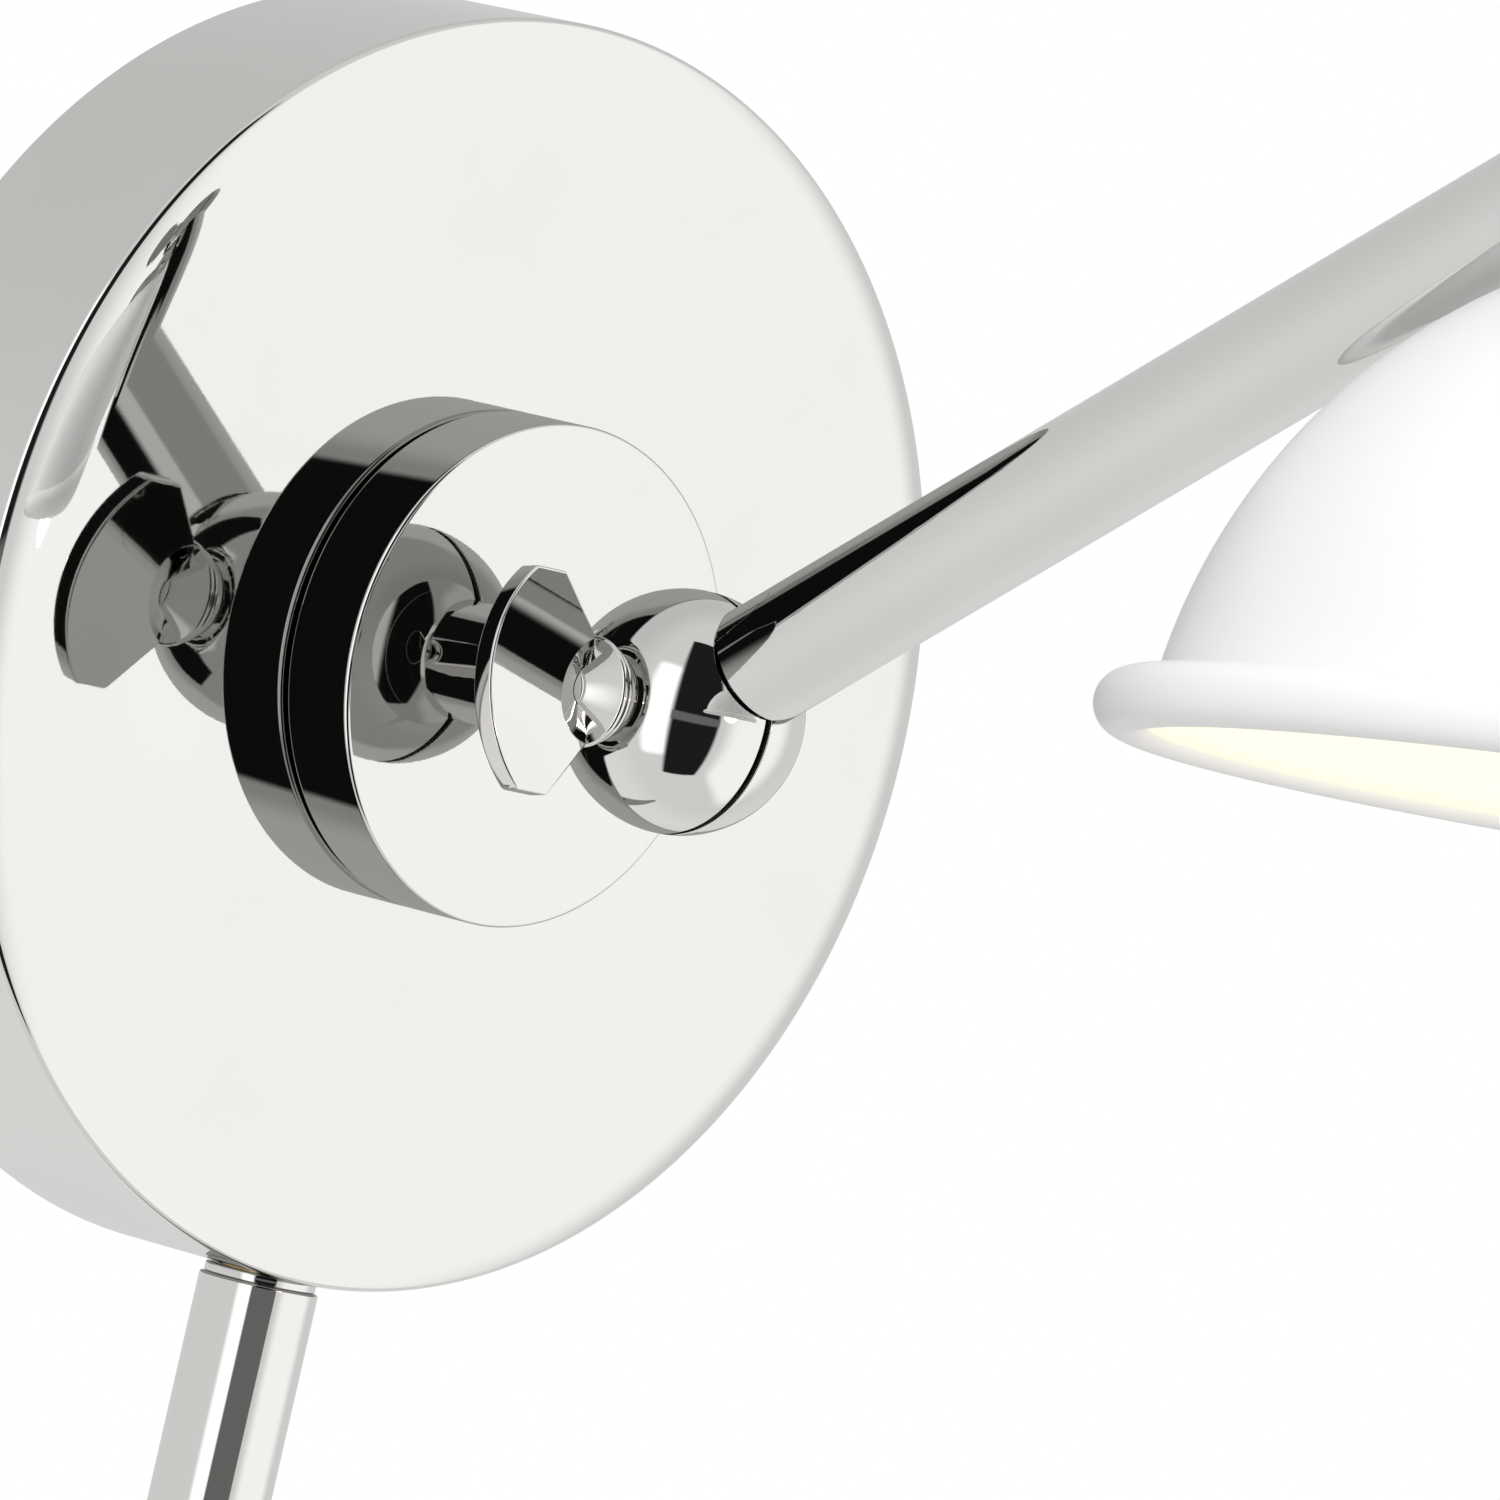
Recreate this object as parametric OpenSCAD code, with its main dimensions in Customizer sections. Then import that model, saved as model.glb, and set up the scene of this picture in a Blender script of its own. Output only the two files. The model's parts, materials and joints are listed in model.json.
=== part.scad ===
// Swing arm wall sconce: round backplate, turning hub, two split-ball knuckles and a domed shade.
// Millimetres. The wall is the plane y = 0, the lamp stands out along -Y, and Z is up.
// The origin is the centre of the backplate on the wall.

/* [Backplate] */
// Outside diameter of the backplate
plate_d = 127; // [100:1:160]
// Depth of the backplate from the wall to its front face
plate_depth = 25; // [20:0.5:35]
// Sheet thickness of the backplate
plate_wall = 1.5; // [1:0.1:2]
// Width of the curved shoulder round the front face
shoulder_w = 7; // [4:0.5:12]
// Radius of the shoulder's shallow curve
shoulder_r = 15; // [13:0.5:40]
// Radius of the tight edge between the shoulder and the side wall
plate_edge_r = 1; // [0.5:0.1:1.4]

/* [Hub] */
// Diameter of the hub disc
hub_d = 50; // [40:1:70]
// Thickness of the hub disc
hub_t = 8.8; // [6:0.1:14]
// Chamfer on the edges of the hub disc
hub_chamfer = 0.5; // [0.2:0.1:1.5]
// Distance from the front of the hub disc to the centre of the wall ball
ball_reach = 20.8; // [19:0.1:40]
// Swivel to each side of rest, in degrees
swivel_limit = 90; // [60:5:120]

/* [Knuckles] */
// Diameter of the split balls
ball_d = 24; // [22:0.5:32]
// Gap between the two halves of a ball
split_gap = 0.8; // [0.6:0.1:1.2]
// Gap between a ball half and the tube of the other side
saddle_gap = 0.6; // [0.4:0.1:1]
// Diameter of the wing screw thread
screw_d = 6; // [5:0.5:7.5]
// Thickness of the friction discs
friction_t = 0.5; // [0.3:0.1:0.5]

/* [Wing screws] */
// Height of the wing blade
wing_h = 21.8; // [16:0.2:28]
// Thickness of the wing blade
wing_t = 2.3; // [1.5:0.1:3]
// Length of the straight part of the blade's top and bottom
wing_flat = 4; // [3:0.1:8]
// Length of the sloping part between the collar and the straight part
wing_slope = 4.7; // [2.5:0.1:8]
// How far the curved outer edge stands beyond the flats
wing_bulge = 5.1; // [2:0.1:6]
// Lean of the wall blade from upright at rest, in degrees
wall_wing_lean = -11; // [-45:1:45]
// Lean of the outer blade from upright at rest, in degrees
outer_wing_lean = 24; // [-45:1:45]

/* [Arm] */
// Distance between the two ball centres
arm_l = 159; // [140:1:260]
// Outside diameter of the arm and the stem
arm_d = 12; // [11:0.5:14.5]
// Wall of the arm and the stem
arm_wall = 0.95; // [0.8:0.05:1.2]
// Rise of the arm above level at rest, in degrees
arm_rise = 34.1; // [20:0.1:60]

/* [Shade] */
// Outside radius of the dome
dome_r = 57.5; // [50:0.5:70]
// Gap from the outer ball down to the top of the dome's sphere
head_gap = 10.5; // [9:0.5:20]
// Height of the rim above the centre of the dome's sphere
rim_lift = 6; // [0:0.5:12]
// Radius of the rolled bead at the rim
bead_r = 3; // [2:0.1:4]
// Sheet thickness of the shade
shade_wall = 1; // [0.8:0.1:1.4]
// Outward tilt of the shade's opening at rest, in degrees
shade_tilt = 6; // [0:0.5:10]

/* [Socket] */
// Gap between the lampholder and the socket cap
cap_gap = 0.3; // [0.3:0.1:3]
// Bare neck between the outer knuckle's room and the socket cap
neck_gap = 4.4; // [4:0.1:10]
// Diameter of the lampholder body
holder_d = 27; // [24:0.5:28]
// Length of the lampholder body
holder_l = 30; // [26:0.5:40]
// Diameter of the bulb's screw base
base_d = 11.8; // [11:0.1:14]
// Diameter of the glass globe
globe_d = 38; // [30:1:40]

/* [Cord tube] */
// Outside diameter of the cord tube
tube_d = 12; // [10:0.5:14]
// Length of the cord tube
tube_l = 300; // [150:5:450]
// Distance from the wall to the axis of the cord tube
tube_from_wall = 15; // [10:0.5:16]
// Wall of the cord tube
tube_wall = 1; // [0.8:0.1:1.2]
// Diameter of the cord hole in the bottom bush
cord_hole_d = 6.4; // [5:0.1:7]

/* [Mounting bracket] */
// Width of the bracket strip
bracket_w = 18; // [14:0.5:20]
// Thickness of the bracket strip
bracket_t = 2; // [1.5:0.1:2.5]
// Smaller hole spacing of the wall box
box_small = 70; // [60:0.5:74]
// Larger hole spacing of the wall box
box_large = 88.9; // [80:0.1:92]
// Width of the slots for the wall box screws
slot_w = 4.8; // [4:0.1:5.5]
// Thread diameter of the canopy screws
canopy_screw_d = 4; // [3:0.5:4]
// Distance from the wall to the canopy screws
canopy_screw_z = 9; // [8:0.5:11]

/* [Hidden] */
$fn = 96;

fit = 0.05;          // radial clearance of a shaft in its hole, and of a thread
face_gap = 0.1;      // gap between two faces that slide on each other
big = 400;           // size of cutting blocks, larger than any piece

plate_r = plate_d / 2;
plate_in_r = plate_r - plate_wall;
plate_in_z = plate_depth - plate_wall;

arm_r = arm_d / 2;
arm_in_r = arm_r - arm_wall;
ball_r = ball_d / 2;
screw_r = screw_d / 2;

// hub stack, as distances from the wall
nipple_r = arm_in_r - fit;
nipple_in_r = nipple_r - 1.5;
nut_across = 2 * nipple_r + 4;                   // across the flats of the nuts on the nipples
bush_barrel_r = nipple_r + 1;
bush_flange_t = 0.3;
bush_flange_r = nipple_r + 4;
hub_back_z = plate_depth + bush_flange_t + face_gap;
hub_front_z = hub_back_z + hub_t;
ball_z = hub_front_z + ball_reach;
stop_plate_t = 1.5;
stop_plate_z = plate_in_z - stop_plate_t;
spring_t = 0.9;
spring_z = stop_plate_z - face_gap - spring_t;
stop_washer_t = 1.3;
stop_washer_z = spring_z - stop_washer_t;
locknut_t = 4;
locknut_z = stop_washer_z - face_gap - locknut_t;
nipple_end_z = locknut_z - 2;
washer_r = nipple_r + 4.5;
stop_r = nipple_r + 10;
stop_plate_r = stop_r + 2;
tab_half = 13;                                   // half the angle of the stop washer's tab
stop_gap = 1;                                    // angle left between tab and block at the limit
block_half = 180 - swivel_limit - tab_half - stop_gap;

// knuckles, from the ball's centre
ball_wall = 3.6;                                 // metal outside the wire channel
channel_r = ball_r - ball_wall;
channel_depth = 4.6;                              // depth of the wire channel round the boss
boss_r = screw_r + 1.6;
wire_r = nipple_r - 2;
seat_x = ball_r - 1.5;                           // flat under the collar of the wing screw
screw_depth = ball_r - 4.5;                      // how far the thread reaches into the far half
stem_spigot = ball_reach - 3.8;
arm_spigot = ball_r + 10;
disc_out_r = ball_r - 0.7;

// wing screw, from the ball's centre
collar_l = 3.6;
collar_r = screw_r + 1.15;
wing_neck = seat_x + collar_l - 0.4;             // where the blade grows out of the collar
wing_neck_h = collar_r * 2 + 2.3;
wing_inner = wing_neck + wing_slope;
wing_outer = wing_inner + wing_flat;
wing_arc_r = (pow(wing_bulge, 2) + pow(wing_h / 2, 2)) / (2 * wing_bulge);

// head, as distances from the outer ball's centre along the head's axis
holder_r = holder_d / 2;
cap_wall = 1.2;
cap_r = holder_r + cap_gap + cap_wall;
cap_top = ball_r + saddle_gap + neck_gap;
cap_edge_r = 5;
land_r = cap_r + 0.6;
dome_drop = ball_r + head_gap + dome_r;          // distance down to the centre of the dome's sphere
land_z = dome_drop - sqrt(pow(dome_r, 2) - pow(land_r, 2));
shade_hole_r = holder_r + 0.4;
rim_z = dome_drop - rim_lift;
rim_in_r = sqrt(pow(dome_r - shade_wall, 2) - pow(rim_lift, 2));
rim_r = rim_in_r + bead_r;
cap_nut_t = 2.6;
cap_nut_z = cap_top + cap_wall + fit;
holder_z = cap_nut_z + cap_nut_t + 0.3;
holder_end = holder_z + holder_l;
neck_end = holder_z + 3.2;
ring_t = 4;
ring_out_r = land_r - 0.8;                       // inside the dome, which narrows towards its top
base_r = base_d / 2;
shell_in_r = base_r + 0.15;
shell_out_r = shell_in_r + 0.4;
socket_z = neck_end + 3;                         // inner end of the lampholder's cavity
socket_r = shell_out_r + fit;
base_tip_z = socket_z + 1.8;
base_z = base_tip_z + 1.2;
base_l = 17;
base_wall = 0.5;
globe_r = globe_d / 2;
globe_wall = 0.8;
glass_neck_r = base_r - base_wall - fit;
globe_z = base_z + base_l + globe_r + 2.4;

// cord tube, as distances below the origin
tube_r = tube_d / 2;
tube_in_r = tube_r - tube_wall;
tube_nipple_r = tube_in_r - 1;
tube_nipple_in_r = tube_nipple_r - 1;
tube_nut_across = 2 * tube_nipple_r + 4;
tube_spacer_t = 1;
tube_top = plate_r + tube_spacer_t;
tube_bottom = tube_top + tube_l;
tube_nut_t = 3;
tube_insert_l = 10;
bush_in = 8;                                     // length of the bottom bush inside the tube
bush_lip = 1.6;

// bracket, as distances from the middle
tab_x = plate_in_r - 1.5;
tab_z = canopy_screw_z + 7;                       // how far the bracket's ends stand out from the wall
slot_x = (box_small + box_large) / 4;
slot_reach = (box_large - box_small) / 4;        // from the slot's middle to each end's centre
slot_r = slot_w / 2;
canopy_screw_r = canopy_screw_d / 2;

// ---------------------------------------------------------------- places

// children are built along +Z, which becomes the way out from the wall
module from_wall() {
    rotate([90, 0, 0]) children();
}

module at_wall_ball() {
    translate([0, -ball_z, 0]) children();
}

module at_outer_ball() {
    translate([0, -ball_z - arm_l * cos(arm_rise), arm_l * sin(arm_rise)]) children();
}

// children are built along +Z, which becomes the arm's axis
module along_arm() {
    rotate([90 - arm_rise, 0, 0]) children();
}

// children are built along +Z, which becomes the head's axis, pointing down
module along_head() {
    rotate([180 - shade_tilt, 0, 0]) children();
}

// ---------------------------------------------------------------- shared shapes

module ring(out_r, in_r, h) {
    difference() {
        cylinder(r = out_r, h = h);
        translate([0, 0, -1]) cylinder(r = in_r, h = h + 2);
    }
}

// the half space x < -gap
module left_space(gap) {
    translate([-gap - big, -big / 2, -big / 2]) cube(big);
}

// turns a shape made for the -X half of a ball to the side given: 1 is the +X half
module on_side(side) {
    rotate([0, 0, side > 0 ? 180 : 0]) children();
}

// a sector of a disc, centred on +Y
module sector(r, half_angle, h) {
    linear_extrude(h)
        polygon(concat([[0, 0]],
            [for (i = [-4 : 4]) let (a = 90 + i * half_angle / 4) [r * cos(a), r * sin(a)]]));
}

// one half of a split ball with its hollow spigot along +Z
// side: 1 is the threaded half, -1 is the half that the wing screw sits on
module ball_half(side, spigot_l) {
    on_side(side) difference() {
        union() {
            intersection() {
                sphere(r = ball_r);
                left_space(split_gap / 2);
            }
            difference() {
                cylinder(r = nipple_r, h = spigot_l);
                other_half_room();
            }
        }
        // wire channel round the boss
        rotate([0, -90, 0]) ring(channel_r, boss_r, channel_depth);
        // wire bore through the spigot
        translate([0, 0, boss_r + 1]) cylinder(r = wire_r, h = spigot_l);
        if (side < 0) {
            rotate([0, -90, 0]) cylinder(r = screw_r + fit, h = ball_r + 1);
            left_space(seat_x);
        } else {
            rotate([0, -90, 0]) cylinder(r = screw_r + fit, h = screw_depth + 0.6);
        }
    }
}

// room that the -X half leaves for the other half to turn in
module other_half_room() {
    intersection() {
        sphere(r = ball_r + saddle_gap);
        rotate([0, 0, 180]) left_space(-split_gap / 2);
    }
}

// a tube along +Z that starts on the -X half of a ball, and ends square or on a second ball
module saddle_tube(len, second_ball) {
    difference() {
        ring(arm_r, arm_in_r, len);
        saddle_cut();
        if (second_ball) translate([0, 0, len]) saddle_cut();
    }
}

module saddle_cut() {
    sphere(r = ball_r + fit / 2);
    other_half_room();
}

module friction_disc() {
    translate([-split_gap / 2, 0, 0]) rotate([0, 90, 0]) ring(disc_out_r, channel_r + 0.2, friction_t);
}

// wing screw with its axis along -X, its blade upright
module wing_screw() {
    rotate([0, -90, 0]) {
        translate([0, 0, -screw_depth]) cylinder(r = screw_r, h = screw_depth + seat_x + 1);
        rotate_extrude() collar_profile();
        translate([0, wing_t / 2, 0]) rotate([90, 0, 0]) linear_extrude(wing_t) wing_outline();
    }
}

module collar_profile() {
    translate([0, seat_x + fit]) square([collar_r, collar_l - fit]);
    translate([0, seat_x + 1.3]) square([collar_r + 0.5, 0.8]);
    translate([0, seat_x + 2.3]) square([collar_r + 0.9, 0.9]);
    translate([collar_r + 0.9, seat_x + 2.75]) circle(0.45);
    translate([collar_r + 0.5, seat_x + 1.7]) circle(0.4);
}

module wing_outline() {
    intersection() {
        polygon([
            [wing_neck_h / 2, wing_neck], [wing_h / 2, wing_inner], [wing_h / 2, wing_outer + wing_bulge],
            [-wing_h / 2, wing_outer + wing_bulge], [-wing_h / 2, wing_inner], [-wing_neck_h / 2, wing_neck]
        ]);
        translate([0, wing_outer + wing_bulge - wing_arc_r]) circle(wing_arc_r);
    }
}

module hex_nut(across, bore_r, h) {
    difference() {
        cylinder(r = across / 2 / cos(30), h = h, $fn = 6);
        translate([0, 0, -1]) cylinder(r = bore_r, h = h + 2);
    }
}

// ---------------------------------------------------------------- backplate and bracket

// half the section of the solid pan, drawn in by inset: flat face, shallow shoulder, tight edge, side wall
module pan_outline(inset) {
    r = plate_r - inset;
    flat_r = plate_r - shoulder_w;
    curve_r = shoulder_r - inset;
    edge_r = max(plate_edge_r - inset, 0);
    reach = r - edge_r - flat_r;                    // from the flat's end to the centre of the tight edge
    curve_z = plate_depth - shoulder_r;
    edge_z = curve_z + sqrt(pow(curve_r - edge_r, 2) - pow(reach, 2));
    square([r, edge_z]);
    square([flat_r, plate_depth - inset]);
    intersection() {
        translate([flat_r, curve_z]) circle(curve_r);
        square([flat_r + reach * curve_r / (curve_r - edge_r), plate_depth]);
    }
    if (edge_r > 0) translate([r - edge_r, edge_z]) circle(edge_r);
}

module backplate() {
    color("gainsboro") difference() {
        from_wall() rotate_extrude() difference() {
            pan_outline(0);
            pan_outline(plate_wall);
            translate([0, -1]) square([plate_in_r, plate_depth / 2]);
        }
        from_wall() cylinder(r = bush_barrel_r + fit, h = plate_depth + 1);
        translate([0, -tube_from_wall, -plate_r - 1]) cylinder(r = tube_nipple_r + fit, h = 10);
        translate([-plate_r - 1, -canopy_screw_z, 0])
            rotate([0, 90, 0]) cylinder(r = canopy_screw_r + 2 * fit, h = plate_d + 2);
    }
}

module mounting_bracket() {
    color("silver") from_wall() difference() {
        union() {
            translate([-tab_x, -bracket_w / 2, 0]) cube([2 * tab_x, bracket_w, bracket_t]);
            for (side = [-1, 1])
                translate([side > 0 ? tab_x - bracket_t : -tab_x, -bracket_w / 2, 0])
                    cube([bracket_t, bracket_w, tab_z]);
        }
        for (side = [-1, 1]) translate([side * slot_x, 0, -1]) box_slot();
        translate([0, 0, -1]) cylinder(r = nipple_r + 0.4, h = bracket_t + 2);
        translate([slot_x / 2, 0, -1]) cylinder(r = canopy_screw_r + fit, h = bracket_t + 2);
        translate([-tab_x - 1, 0, canopy_screw_z])
            rotate([0, 90, 0]) cylinder(r = canopy_screw_r + fit, h = 2 * tab_x + 2);
    }
}

module box_slot() {
    for (end = [-1, 1]) translate([end * slot_reach, 0, 0]) cylinder(r = slot_r, h = bracket_t + 2);
    translate([-slot_reach, -slot_r, 0]) cube([2 * slot_reach, slot_w, bracket_t + 2]);
}

module canopy_screws() {
    color("gainsboro") for (side = [-1, 1])
        translate([side * plate_r, -canopy_screw_z, 0]) rotate([0, side * 90, 0]) canopy_screw();
}

// pan-head screw along Z: the head stands on z = 0 and the shank runs to -z
module canopy_screw() {
    difference() {
        union() {
            translate([0, 0, -9]) cylinder(r = canopy_screw_r, h = 9.1);
            cylinder(r = canopy_screw_d * 0.9, h = 1);
            translate([0, 0, 1]) cylinder(r1 = canopy_screw_d * 0.9, r2 = canopy_screw_d * 0.6, h = 1);
        }
        translate([-big / 2, -0.4, 1.1]) cube([big, 0.8, 2]);
    }
}

module earth_screw() {
    color("green") from_wall() translate([slot_x / 2, 0, 0]) difference() {
        union() {
            translate([0, 0, 0.1]) cylinder(r = canopy_screw_r, h = bracket_t + 1);
            translate([0, 0, bracket_t + fit]) cylinder(r = canopy_screw_d + 0.8, h = 0.9);
            translate([0, 0, bracket_t + 0.9]) cylinder(r = canopy_screw_d, h = 2.8, $fn = 6);
        }
        translate([-big / 2, -0.5, bracket_t + 2.6]) cube([big, 1, 2]);
    }
}

// ---------------------------------------------------------------- hub

module hub_bush() {
    color("ivory") from_wall() difference() {
        union() {
            translate([0, 0, stop_plate_z + face_gap])
                cylinder(r = bush_barrel_r, h = plate_depth - stop_plate_z - face_gap);
            translate([0, 0, plate_depth]) cylinder(r = bush_flange_r, h = bush_flange_t);
        }
        cylinder(r = nipple_r + fit, h = plate_depth + 2);
    }
}

// ring behind the plate's face with a raised block that ends the swivel
module stop_plate() {
    color("silver") from_wall() {
        translate([0, 0, stop_plate_z]) ring(stop_plate_r, bush_barrel_r + fit, stop_plate_t);
        intersection() {
            translate([0, 0, stop_washer_z - 0.6])
                ring(stop_plate_r, washer_r + 2, plate_in_z - stop_washer_z + 0.6);
            translate([0, 0, stop_washer_z - 0.6])
                sector(2 * stop_plate_r, block_half, plate_in_z - stop_washer_z + 0.6);
        }
    }
}

module hub_spring_washer() {
    color("dimgray") from_wall() translate([0, 0, spring_z]) difference() {
        ring(washer_r - 0.5, nipple_r + fit, spring_t);
        rotate([0, 0, 200]) translate([0, -0.5, -1]) cube([washer_r + 1, 1, spring_t + 2]);
    }
}

// washer keyed to the nipple, with a tab that meets the block
module stop_washer() {
    color("silver") from_wall() translate([0, 0, stop_washer_z]) {
        ring(washer_r, nipple_r + fit, stop_washer_t);
        intersection() {
            ring(stop_r, washer_r - 1, stop_washer_t);
            rotate([0, 0, 180]) sector(2 * stop_r, tab_half, stop_washer_t);
        }
    }
}

module hub_locknut() {
    color("goldenrod") from_wall() translate([0, 0, locknut_z])
        hex_nut(nut_across, nipple_r + fit, locknut_t);
}

module hub_nipple() {
    color("goldenrod") from_wall() translate([0, 0, nipple_end_z])
        ring(nipple_r, nipple_in_r, ball_z - stem_spigot - 0.5 - nipple_end_z);
}

module hub_disc() {
    color("gainsboro") from_wall() difference() {
        rotate_extrude() polygon([
            [nipple_r + fit, hub_back_z],
            [hub_d / 2 - hub_chamfer, hub_back_z],
            [hub_d / 2, hub_back_z + hub_chamfer],
            [hub_d / 2, hub_front_z - hub_chamfer],
            [hub_d / 2 - hub_chamfer, hub_front_z],
            [nipple_r + fit, hub_front_z]
        ]);
    }
}

module stem() {
    color("gainsboro") at_wall_ball() rotate([-90, 0, 0]) saddle_tube(ball_reach - fit, false);
}

// ---------------------------------------------------------------- knuckles and arm

module wall_ball_stem_half() {
    color("gainsboro") at_wall_ball() rotate([-90, 0, 0]) ball_half(-1, stem_spigot);
}

module wall_ball_arm_half() {
    color("gainsboro") at_wall_ball() along_arm() ball_half(1, arm_spigot);
}

module wall_friction_disc() {
    color("black") at_wall_ball() friction_disc();
}

module wall_wing_screw() {
    color("gainsboro") at_wall_ball() rotate([wall_wing_lean, 0, 0]) wing_screw();
}

module arm_tube() {
    color("gainsboro") at_wall_ball() along_arm() on_side(1) saddle_tube(arm_l, true);
}

module outer_ball_arm_half() {
    color("gainsboro") at_outer_ball() rotate([180, 0, 0]) along_arm() ball_half(1, arm_spigot);
}

module outer_ball_head_half() {
    color("gainsboro") at_outer_ball() along_head() ball_half(-1, neck_end);
}

module outer_friction_disc() {
    color("black") at_outer_ball() friction_disc();
}

module outer_wing_screw() {
    color("gainsboro") at_outer_ball() rotate([outer_wing_lean, 0, 0]) wing_screw();
}

// ---------------------------------------------------------------- head

// half the section of a cap with a rounded shoulder, which stops at the shade's land
module cap_outline(r, top, edge) {
    intersection() {
        union() {
            translate([0, top + edge]) square([r, land_z - top - edge]);
            translate([0, top]) square([r - edge, land_z - top]);
            translate([r - edge, top + edge]) circle(edge);
        }
        translate([0, top]) square([r, land_z - top]);
    }
}

module socket_cap() {
    color("gainsboro") at_outer_ball() along_head() rotate_extrude() difference() {
        cap_outline(cap_r, cap_top, cap_edge_r);
        intersection() {
            translate([0, 2]) cap_outline(cap_r - cap_wall, cap_top + cap_wall - 2, cap_edge_r - cap_wall);
            square(big);
        }
        square([nipple_r + fit, big]);
    }
}

module cap_nut() {
    color("goldenrod") at_outer_ball() along_head() translate([0, 0, cap_nut_z])
        hex_nut(nut_across, nipple_r + fit, cap_nut_t);
}

module lampholder() {
    color("white") at_outer_ball() along_head() difference() {
        translate([0, 0, holder_z]) cylinder(r = holder_r, h = holder_l);
        translate([0, 0, holder_z - 1]) cylinder(r = nipple_r + fit, h = neck_end - holder_z + 2);
        translate([0, 0, neck_end]) cylinder(r = wire_r, h = socket_z - neck_end + 1);
        translate([0, 0, socket_z]) cylinder(r = socket_r, h = holder_l);
        translate([0, 0, holder_end - 2]) cylinder(r = socket_r + 1, h = 3);
    }
}

module lamp_shell() {
    color("goldenrod") at_outer_ball() along_head() translate([0, 0, base_z])
        ring(shell_out_r, shell_in_r, holder_end - 2.5 - base_z);
}

module lamp_contact() {
    color("goldenrod") at_outer_ball() along_head() {
        translate([0, 0, socket_z + fit]) cylinder(r = wire_r + 1.2, h = 0.6);
        translate([0, 0, socket_z + fit]) cylinder(r = 1.6, h = base_tip_z - socket_z - 2 * fit);
    }
}

module shade() {
    color("white") at_outer_ball() along_head() rotate_extrude() {
        difference() {
            translate([0, dome_drop]) circle(dome_r);
            translate([0, dome_drop]) circle(dome_r - shade_wall);
            translate([-big, -big / 2]) square([big, big]);
            translate([0, land_z - big]) square([big, big]);
            translate([0, rim_z]) square([big, big]);
            square([shade_hole_r, rim_z]);
        }
        translate([shade_hole_r, land_z]) square([land_r - shade_hole_r, shade_wall]);
        translate([rim_r, rim_z]) circle(bead_r);
    }
}

module shade_ring() {
    color("white") at_outer_ball() along_head() translate([0, 0, land_z + shade_wall + fit])
        difference() {
            ring(ring_out_r, holder_r + fit, ring_t);
            for (i = [0 : 11]) rotate([0, 0, i * 30])
                translate([ring_out_r + 0.4, 0, 1]) cylinder(r = 1.2, h = ring_t);
        }
}

module bulb_base() {
    color("silver") at_outer_ball() along_head() {
        translate([0, 0, base_tip_z]) cylinder(r = 2, h = base_z - base_tip_z + 0.5);
        difference() {
            translate([0, 0, base_z]) union() {
                cylinder(r = base_r - 0.4, h = base_l);
                for (i = [0 : 4]) translate([0, 0, 1.5 + i * 2.8]) cylinder(r = base_r, h = 1.4);
            }
            translate([0, 0, base_z + 1]) cylinder(r = base_r - 0.4 - base_wall, h = base_l);
        }
    }
}

module bulb_glass() {
    neck_in = glass_neck_r - 0.4 - globe_wall;
    color("white", 0.6) at_outer_ball() along_head() rotate_extrude() difference() {
        union() {
            translate([0, globe_z]) circle(globe_r);
            translate([0, base_z + base_l - 4]) square([neck_in + globe_wall, globe_z - base_z - base_l + 4]);
        }
        translate([0, globe_z]) circle(globe_r - globe_wall);
        translate([0, base_z + base_l - 5]) square([neck_in, globe_z - base_z - base_l]);
        translate([-big, 0]) square([big, big]);
    }
}

// ---------------------------------------------------------------- cord tube

module down_tube() {
    translate([0, -tube_from_wall, 0]) mirror([0, 0, 1]) children();
}

// thin ring between the side wall and the tube
module tube_spacer() {
    color("gainsboro") down_tube() translate([0, 0, plate_r + fit / 2])
        ring(tube_r - 0.4, tube_nipple_r + fit, tube_spacer_t - fit);
}

module tube_nipple() {
    color("goldenrod") down_tube() translate([0, 0, plate_in_r - 7])
        ring(tube_nipple_r, tube_nipple_in_r, tube_top - plate_in_r + 7 + tube_insert_l);
}

module tube_nut() {
    color("goldenrod") down_tube() translate([0, 0, plate_in_r - 2 - tube_nut_t])
        hex_nut(tube_nut_across, tube_nipple_r + fit, tube_nut_t);
}

module tube_insert() {
    color("goldenrod") down_tube() translate([0, 0, tube_top + 0.5])
        ring(tube_in_r - fit, tube_nipple_r + fit, tube_insert_l);
}

module cord_tube() {
    color("gainsboro") down_tube() difference() {
        rotate_extrude() polygon([
            [tube_in_r, tube_top], [tube_r - 0.4, tube_top], [tube_r, tube_top + 0.4],
            [tube_r, tube_bottom], [tube_in_r, tube_bottom]
        ]);
    }
}

module tube_bush() {
    color("gainsboro") down_tube() difference() {
        union() {
            translate([0, 0, tube_bottom - bush_in]) cylinder(r = tube_in_r - fit, h = bush_in + 0.1);
            translate([0, 0, tube_bottom + fit]) cylinder(r = tube_r, h = bush_lip);
        }
        translate([0, 0, tube_bottom - bush_in - 1])
            cylinder(r = cord_hole_d / 2, h = bush_in + bush_lip + 3);
    }
}

backplate();
mounting_bracket();
canopy_screws();
earth_screw();
hub_bush();
stop_plate();
hub_spring_washer();
stop_washer();
hub_locknut();
hub_nipple();
hub_disc();
stem();
wall_ball_stem_half();
wall_ball_arm_half();
wall_friction_disc();
wall_wing_screw();
arm_tube();
outer_ball_arm_half();
outer_ball_head_half();
outer_friction_disc();
outer_wing_screw();
socket_cap();
cap_nut();
lampholder();
lamp_shell();
lamp_contact();
shade();
shade_ring();
bulb_base();
bulb_glass();
tube_spacer();
tube_nipple();
tube_nut();
tube_insert();
cord_tube();
tube_bush();
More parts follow.
